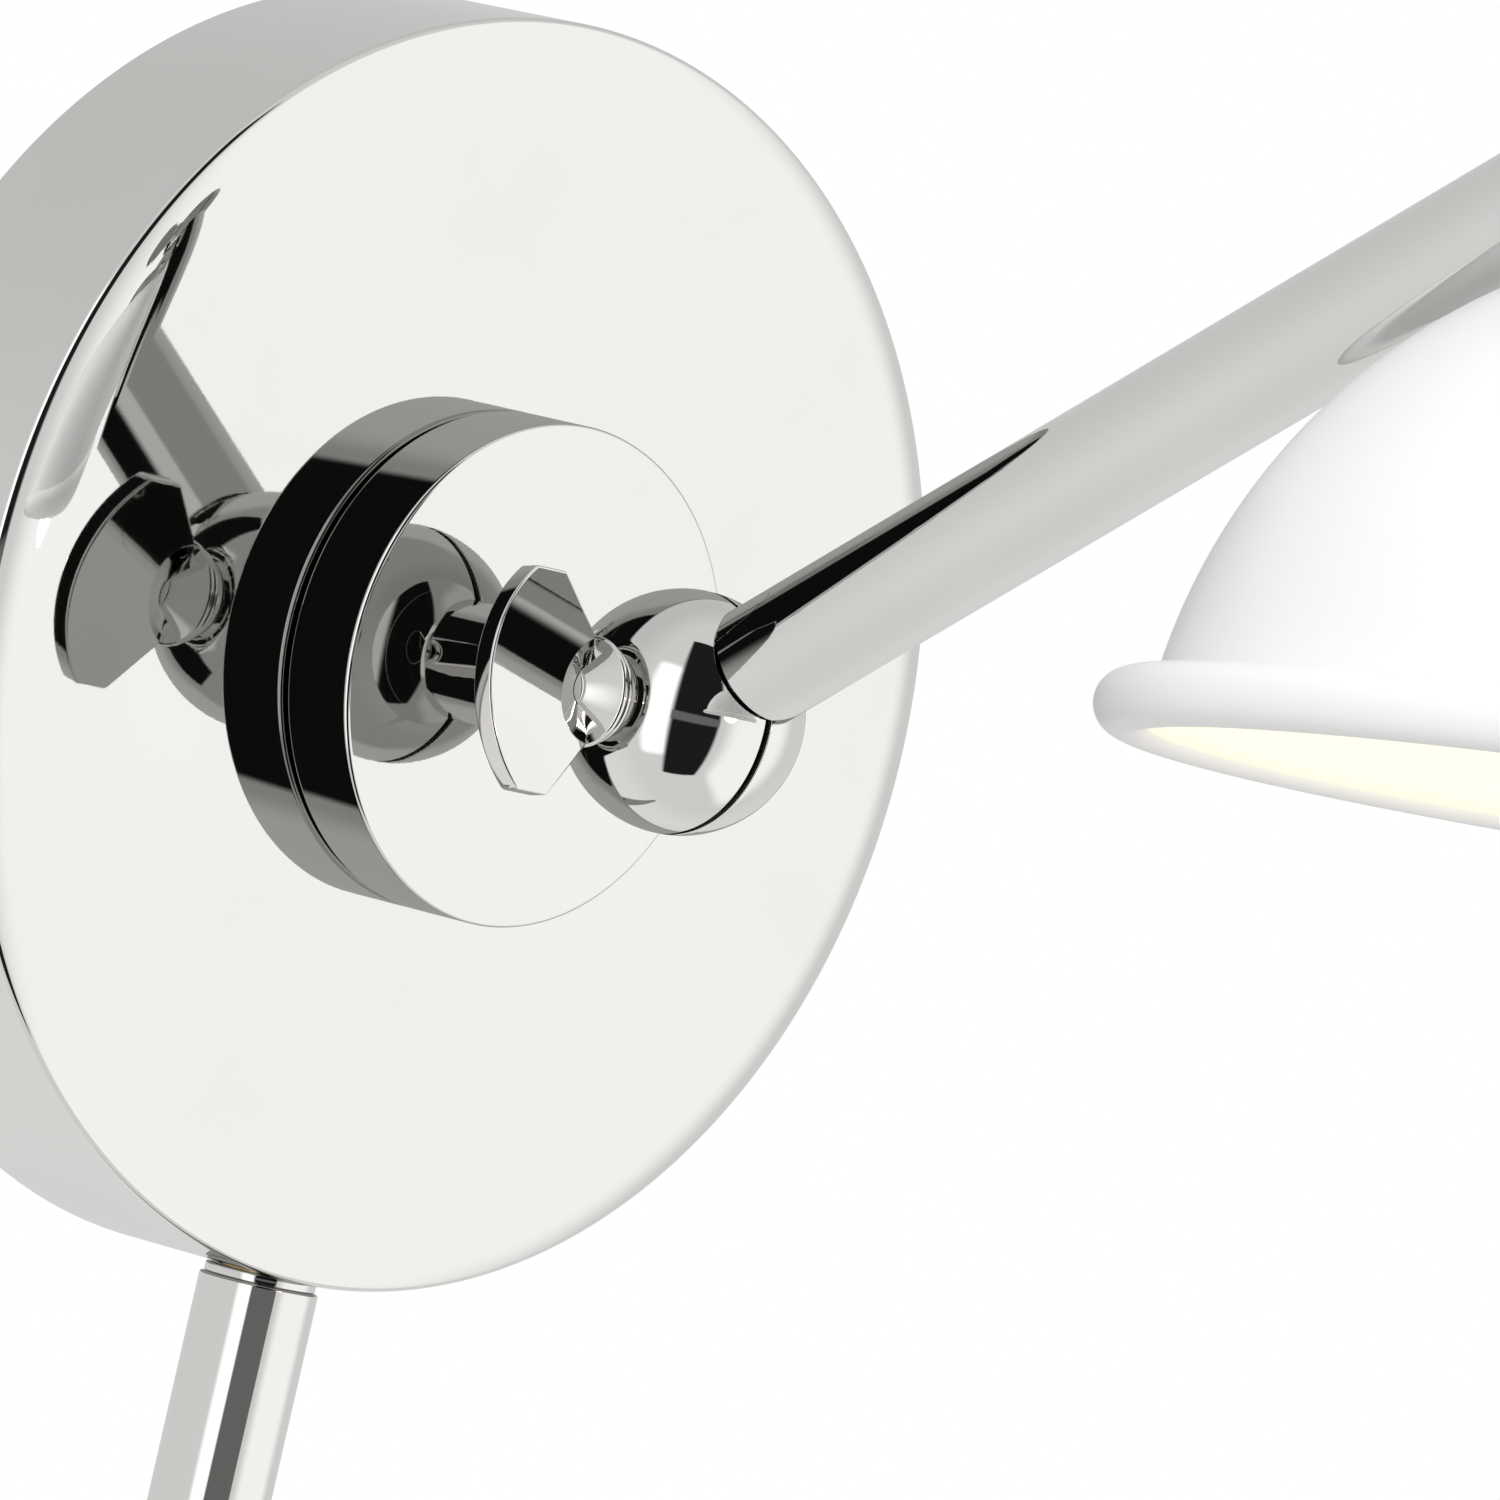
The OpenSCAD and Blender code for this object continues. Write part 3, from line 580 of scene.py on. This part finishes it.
# %% [markdown]
# ## The head
# The shade is spun from 1 mm sheet into a dome, and its rim is rolled over a wire into a bead that stiffens it.
# One section holds the dome's two skins and the bead. Where the bead meets the outside there is a shallow
# groove, which is the meeting point of two circles. The inner skin wears the cream enamel.

# %% Shade
DOME_R = 57.5 * MM
DOME_DROP = BALL_R + 10.5 * MM + DOME_R
SHADE_SHEET = 1 * MM
RIM_LIFT = 6 * MM
BEAD_R = 3 * MM
HOLDER_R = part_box("lampholder")[1].x
LAND_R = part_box("socket_cap")[1].x + 0.6 * MM
land_h = DOME_DROP - math.sqrt(DOME_R ** 2 - LAND_R ** 2)
dome_in_r = DOME_R - SHADE_SHEET
rim_in_r = math.sqrt(dome_in_r ** 2 - RIM_LIFT ** 2)
bead_mid = rim_in_r + BEAD_R


def dome_arc(radius, from_height, to_height, steps):
    """A stretch of the dome's outline. Heights are below the ball, so the dome's top has the least."""
    start, end = [math.degrees(math.asin((h - DOME_DROP) / radius)) for h in (from_height, to_height)]
    return arc(0, DOME_DROP, radius, start, end, steps)


rim_h = DOME_DROP - RIM_LIFT
apart = math.hypot(bead_mid, RIM_LIFT)
swing = math.acos((DOME_R ** 2 + apart ** 2 - BEAD_R ** 2) / (2 * DOME_R * apart))
groove_angle = math.atan2(-RIM_LIFT, bead_mid) - swing
groove_h = DOME_DROP + DOME_R * math.sin(groove_angle)
groove_r = DOME_R * math.cos(groove_angle)
bead_start = math.degrees(math.atan2(groove_h - rim_h, groove_r - bead_mid))
dome = [(HOLDER_R + 0.4 * MM, land_h)]
dome += dome_arc(DOME_R, land_h, groove_h, 56)
dome += arc(bead_mid, rim_h, BEAD_R, bead_start, 180, 40)[1:]
dome += dome_arc(dome_in_r, rim_h, land_h + SHADE_SHEET, 56)[1:]
dome += [(HOLDER_R + 0.4 * MM, land_h + SHADE_SHEET)]
shade = spun("shade_dome", dome, stand(OUTER_BALL, HEAD), edge=0.35 * MM, steps=256)
settle(shade, "shade", enamel, cream)
dome_centre = OUTER_BALL + HEAD * DOME_DROP
for face in shade.data.polygons:
    below_land = (face.center - OUTER_BALL).dot(HEAD) > land_h + SHADE_SHEET * 0.9
    if below_land and (face.center - dome_centre).length < (DOME_R + dome_in_r) / 2:
        face.material_index = 1
print("cream faces:", sum(f.material_index for f in shade.data.polygons))

# %% [markdown]
# Above the shade a small cap hides the lampholder. Under it the holder is a glazed sleeve whose outside carries
# a coarse thread for the ring that clamps the shade. The thread is drawn as a row of shallow grooves.

# %% Socket cap and lampholder
CAP_SHEET = 1.2 * MM
CAP_EDGE = 5 * MM
cap_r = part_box("socket_cap")[1].x
cap_top = span("socket_cap", OUTER_BALL, HEAD)[0]
cap = [(TUBE_IN_R, cap_top)] + arc(cap_r - CAP_EDGE, cap_top + CAP_EDGE, CAP_EDGE, -90, 0, 20)
cap += [(cap_r, land_h - FIT), (cap_r - CAP_SHEET, land_h - FIT)]
cap += arc(cap_r - CAP_EDGE, cap_top + CAP_EDGE, CAP_EDGE - CAP_SHEET, 0, -90, 16)
cap += [(TUBE_IN_R, cap_top + CAP_SHEET)]
settle(spun("socket_cover", cap, stand(OUTER_BALL, HEAD), edge=0.15 * MM), "socket_cap", nickel)

SOCKET_R = 6.5 * MM
GROOVE_PITCH = 1.6 * MM
holder_top, holder_end = span("lampholder", OUTER_BALL, HEAD)
neck_end = HEAD_SPIGOT
socket_top = span("lamp_contact", OUTER_BALL, HEAD)[0] - FIT
holder = [(TUBE_IN_R, holder_top), (HOLDER_R, holder_top)]
for i in range(8):
    groove = land_h + SHADE_SHEET + 5 * MM + i * GROOVE_PITCH
    holder += arc(HOLDER_R, groove, 0.45 * MM, -90, -270, 6)
holder += [(HOLDER_R, holder_end), (SOCKET_R + MM, holder_end), (SOCKET_R + MM, holder_end - 2 * MM)]
holder += [(SOCKET_R, holder_end - 2 * MM), (SOCKET_R, socket_top), (WIRE_R, socket_top)]
holder += [(WIRE_R, neck_end), (TUBE_IN_R, neck_end)]
settle(spun("lampholder_sleeve", holder, stand(OUTER_BALL, HEAD), edge=0.12 * MM), "lampholder", porcelain)

# %% [markdown]
# The bulb is a small opal globe on a rolled screw cap. The cap's thread is a wave pressed into thin metal. The
# globe is blown: a straight neck opens into the ball, and the glass has an inside.

# %% Bulb
BASE_R = 5.9 * MM
GLASS_WALL = 0.8 * MM
THREAD_WAVES = 5
tip_h, base_end = span("bulb_base", OUTER_BALL, HEAD)
base_h = tip_h + 1.2 * MM
base = [(0, tip_h), (1.6 * MM, tip_h), (2 * MM, tip_h + 0.4 * MM), (2 * MM, base_h), (BASE_R - 0.4 * MM, base_h)]
for i in range(81):
    wave = 0.5 - 0.5 * math.cos(2 * math.pi * THREAD_WAVES * i / 80)
    base.append((BASE_R - 0.4 * MM + 0.38 * MM * wave, base_h + 1.2 * MM + i * 14 * MM / 80))
base += [(BASE_R - 0.4 * MM, base_end), (BASE_R - 0.9 * MM, base_end), (BASE_R - 0.9 * MM, base_h + MM)]
base += [(0, base_h + MM)]
settle(spun("bulb_cap", base, stand(OUTER_BALL, HEAD), on_axis=True, edge=0.08 * MM, steps=96), "bulb_base", tin)

neck_r = BASE_R - 0.5 * MM - FIT - 0.4 * MM
neck_start = base_end - 4 * MM


def globe_arc(radius, neck, steps=48):
    start = math.degrees(-math.acos(neck / radius))
    return arc(0, GLOBE_DROP, radius, start, 90, steps)


globe = [(neck_r, neck_start)] + globe_arc(GLOBE_R, neck_r)
inner_globe = list(reversed(globe_arc(GLOBE_R - GLASS_WALL, neck_r - GLASS_WALL)))
globe += inner_globe + [(neck_r - GLASS_WALL, neck_start)]
settle(spun("bulb_globe", globe, stand(OUTER_BALL, HEAD), edge=0, steps=128), "bulb_glass", opal)

# %% [markdown]
# ## Cord tube
# The cord leaves the backplate through a straight tube, which a thin turned neck holds off the side wall. A
# bush with a lip closes its bottom end, so the cord never rubs on the tube's cut edge.

# %% Cord tube, neck and bush
tube_low, tube_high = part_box("cord_tube")
tube_y = (tube_low.y + tube_high.y) / 2
down_axis = stand(Vector((0, tube_y, 0)), DOWN)
cord_r = tube_high.x
pipe = [(cord_r - MM, -tube_high.z), (cord_r, -tube_high.z), (cord_r, -tube_low.z), (cord_r - MM, -tube_low.z)]
settle(spun("cord_pipe", pipe, down_axis, edge=0.3 * MM), "cord_tube", nickel)

neck_low, neck_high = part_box("tube_spacer")
neck = [(4.05 * MM, -neck_high.z), (neck_high.x, -neck_high.z), (neck_high.x, -neck_low.z), (4.05 * MM, -neck_low.z)]
settle(spun("tube_neck", neck, down_axis, edge=0.15 * MM, steps=96), "tube_spacer", nickel)

CORD_HOLE_R = 3.2 * MM
bush_low, bush_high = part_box("tube_bush")
lip_h = -tube_low.z + FIT
bush = [(CORD_HOLE_R, -bush_high.z), (cord_r - MM - FIT, -bush_high.z), (cord_r - MM - FIT, lip_h)]
bush += [(bush_high.x, lip_h), (bush_high.x, -bush_low.z), (CORD_HOLE_R, -bush_low.z)]
settle(spun("tube_end_bush", bush, down_axis, edge=0.35 * MM, steps=128), "tube_bush", nickel)

# %% [markdown]
# ## Behind the backplate
# The bracket, the stop ring, the nuts and the screws are stamped or milled: flat faces with broken corners.
# The discs, washers and threaded tubes are simple rings whose solids are right, so those are only dressed.

# %% Bracket, nuts, screws and rings
FILED = [
    ("mounting_bracket", "bracket_strip", 0.2, zinc),
    ("stop_plate", "stop_ring", 0.12, zinc),
    ("stop_washer", "tab_washer", 0.12, zinc),
    ("hub_locknut", "hub_nut", 0.25, brass),
    ("cap_nut", "holder_nut", 0.25, brass),
    ("tube_nut", "neck_nut", 0.25, brass),
    ("earth_screw", "earth_bolt", 0.12, green),
    ("canopy_screws", "side_screws", 0.12, nickel),
    ("shade_ring", "shade_clamp", 0.15, nylon),
]
for node, name, width, material in FILED:
    settle(filed(node, name, width * MM), node, material)

DRESSED = {
    "hub_bush": nylon, "hub_spring_washer": blued, "hub_nipple": brass, "wall_friction_disc": fibre,
    "outer_friction_disc": fibre, "lamp_shell": brass, "lamp_contact": brass, "tube_nipple": brass,
    "tube_insert": brass,
}
for node, material in DRESSED.items():
    dressed(node, material)

# %% [markdown]
# ## The room
# A mirror shows its surroundings, so the studio is part of the finish. The room is light grey all round and
# darker behind the wall side. A dark flag stands round the camera and draws the black shapes that make the
# metal read as polished, split by a thin grey slit, with a white strip beside it and a broad white panel to
# the right. The wall side is lighter low down than high up. Each panel is a soft
# rectangle in the room's own directions, given by where it is and by the tangents of the angles at which it
# starts and ends. What one polished piece shows of another is darker than the piece itself: a ray that has
# already left two mirrors finds a dimmer room, which keeps the reflections in the backplate apart from it.

# %% Room light
CAMERA_AZIMUTH = math.radians(45)
CAMERA_ELEVATION = math.radians(0.8)
CAMERA_ROLL = math.radians(12.9)
toward = Vector((-math.sin(CAMERA_AZIMUTH) * math.cos(CAMERA_ELEVATION),
                 -math.cos(CAMERA_AZIMUTH) * math.cos(CAMERA_ELEVATION), math.sin(CAMERA_ELEVATION)))
level_right = Vector((math.cos(CAMERA_AZIMUTH), -math.sin(CAMERA_AZIMUTH), 0))
level_up = toward.cross(level_right)


def math_node(tree, operation, *values):
    node = tree.nodes.new("ShaderNodeMath")
    node.operation = operation
    for place, value in zip(node.inputs, values):
        if isinstance(value, (int, float)):
            place.default_value = value
        else:
            tree.links.new(value, place)
    return node.outputs[0]


def dot_with(tree, vector, axis):
    node = tree.nodes.new("ShaderNodeVectorMath")
    node.operation = "DOT_PRODUCT"
    tree.links.new(vector, node.inputs[0])
    node.inputs[1].default_value = axis
    return node.outputs["Value"]


def between(tree, value, low, high, soft):
    """1 between low and high, falling softly to 0 outside."""
    edges = []
    for start, end in ((low - soft, low + soft), (high + soft, high - soft)):
        ramp = tree.nodes.new("ShaderNodeMapRange")
        ramp.interpolation_type = "SMOOTHSTEP"
        tree.links.new(value, ramp.inputs["Value"])
        ramp.inputs["From Min"].default_value = min(start, end)
        ramp.inputs["From Max"].default_value = max(start, end)
        ramp.inputs["To Min"].default_value = 0 if start < end else 1
        ramp.inputs["To Max"].default_value = 1 if start < end else 0
        edges.append(ramp.outputs["Result"])
    return math_node(tree, "MULTIPLY", *edges)


world = bpy.data.worlds.new("studio")
bpy.context.scene.world = world
world.use_nodes = True
room = world.node_tree
sky = room.nodes["Background"]
looking = room.nodes.new("ShaderNodeTexCoord").outputs["Generated"]


def panel(azimuth, across, upright, soft):
    """A soft rectangle round a level direction, given in degrees to the right of the camera."""
    turn = Matrix.Rotation(math.radians(azimuth), 3, "Z")
    ahead = turn @ Vector((toward.x, toward.y, 0)).normalized()
    side = turn @ level_right
    depth = math_node(room, "MAXIMUM", dot_with(room, looking, ahead), 0.001)
    x = math_node(room, "DIVIDE", dot_with(room, looking, side), depth)
    z = math_node(room, "DIVIDE", dot_with(room, looking, Vector((0, 0, 1))), depth)
    return math_node(room, "MULTIPLY", between(room, x, *across, soft), between(room, z, *upright, soft))


ROOM_GREY = 0.66
WALL_SIDE_LOW, WALL_SIDE_HIGH = 0.74, 0.54
SECOND_BOUNCE = 0.37
flag = panel(0, (-0.16, 0.76), (-1.7, 3.0), 0.06)
path = room.nodes.new("ShaderNodeLightPath")
twice = math_node(room, "MULTIPLY", math_node(room, "GREATER_THAN", path.outputs["Ray Depth"], 2.5),
                  path.outputs["Is Glossy Ray"])
slit = math_node(room, "MULTIPLY", panel(0, (-0.16, 0.76), (-0.12, 0.02), 0.02), math_node(room, "SUBTRACT", 1.0, twice))
strip = panel(-22, (-0.24, 0.24), (-0.9, 0.9), 0.10)
broad = panel(90, (-0.85, 0.55), (-1.5, 1.5), 0.28)
behind = between(room, dot_with(room, looking, Vector((0, 1, 0))), 0.15, 2.0, 0.25)
height = room.nodes.new("ShaderNodeMapRange")
room.links.new(dot_with(room, looking, Vector((0, 0, 1))), height.inputs["Value"])
for label, value in (("From Min", -0.8), ("From Max", 0.8), ("To Min", WALL_SIDE_LOW), ("To Max", WALL_SIDE_HIGH)):
    height.inputs[label].default_value = value
wall_side = math_node(room, "SUBTRACT", ROOM_GREY, height.outputs["Result"])
level = math_node(room, "SUBTRACT", ROOM_GREY, math_node(room, "MULTIPLY", behind, wall_side))
for mask, target in ((broad, 0.985), (strip, 1.25), (flag, 0.012), (slit, 0.13)):
    change = math_node(room, "SUBTRACT", target, level)
    level = math_node(room, "ADD", level, math_node(room, "MULTIPLY", mask, change))
level = math_node(room, "MULTIPLY", level, math_node(room, "SUBTRACT", 1.0,
                                                     math_node(room, "MULTIPLY", twice, 1 - SECOND_BOUNCE)))
seen = path.outputs["Is Camera Ray"]
backdrop = math_node(room, "SUBTRACT", 1.0, level)
room.links.new(math_node(room, "ADD", level, math_node(room, "MULTIPLY", seen, backdrop)), sky.inputs["Color"])
bpy.context.scene.view_settings.view_transform = "Standard"
print("room made, flag and two panels")

# %% [markdown]
# Painted surfaces need more light than the room alone gives. Three large soft lamps light them. They stay out
# of the reflections, and so does the pale floor below the lamp, so the metal keeps its calm shapes.

# %% Lamps and floor


def soft_lamp(name, place, size, power):
    data = bpy.data.lights.new(name, "AREA")
    data.size = size
    data.energy = power
    lamp = bpy.data.objects.new(name, data)
    lamp.location = place
    lamp.rotation_mode = "QUATERNION"
    lamp.rotation_quaternion = Vector(place).to_track_quat("Z", "Y")
    lamp.visible_glossy = False
    lamp.visible_camera = False
    bpy.context.scene.collection.objects.link(lamp)


soft_lamp("left soft lamp", (-1.4, -1.2, 0.7), 1.2, 20)
soft_lamp("right soft lamp", (1.5, -1.3, 0.6), 1.2, 12.5)
soft_lamp("top soft lamp", (0.0, -0.4, 1.7), 1.2, 10)

FLOOR_GAP = 25 * MM
FLOOR_HALF = 0.8
bm = bmesh.new()
bmesh.ops.create_grid(bm, x_segments=1, y_segments=1, size=FLOOR_HALF)
floor = to_piece(bm, "pale_floor", Matrix.Translation((0, 0, cad_low.z - FLOOR_GAP)))
floor.data.materials.append(finish_of("pale floor", grained, {"Smooth": 0.6, "Rough": 0.7},
                                      (0.66, 0.66, 0.65), (0.64, 0.64, 0.63), 0.1))
floor.visible_glossy = False
print("floor at mm:", round((cad_low.z - FLOOR_GAP) / MM, 1))

# %% [markdown]
# ## Camera
# A long lens from well back, a little above level and turned on its side by about thirteen degrees, looks at
# the middle of the backplate's face, with that point left of and above the middle of the frame.

# %% Camera
LENS = 386
DISTANCE = 1.58
LOOK_RIGHT = 27.2 * MM
LOOK_DOWN = 8.7 * MM
image_x = level_right * math.cos(CAMERA_ROLL) + level_up * math.sin(CAMERA_ROLL)
image_y = level_up * math.cos(CAMERA_ROLL) - level_right * math.sin(CAMERA_ROLL)
camera = bpy.data.objects.new("camera", bpy.data.cameras.new("camera"))
bpy.context.scene.collection.objects.link(camera)
camera.data.lens = LENS
camera.data.sensor_width = 36
camera.data.clip_end = 100
spot = OUT * plate_depth + image_x * LOOK_RIGHT - image_y * LOOK_DOWN + toward * DISTANCE
camera.matrix_world = Matrix.Translation(spot) @ Matrix((image_x, image_y, toward)).transposed().to_4x4()
bpy.context.scene.camera = camera
print("camera at:", [round(v, 3) for v in spot])
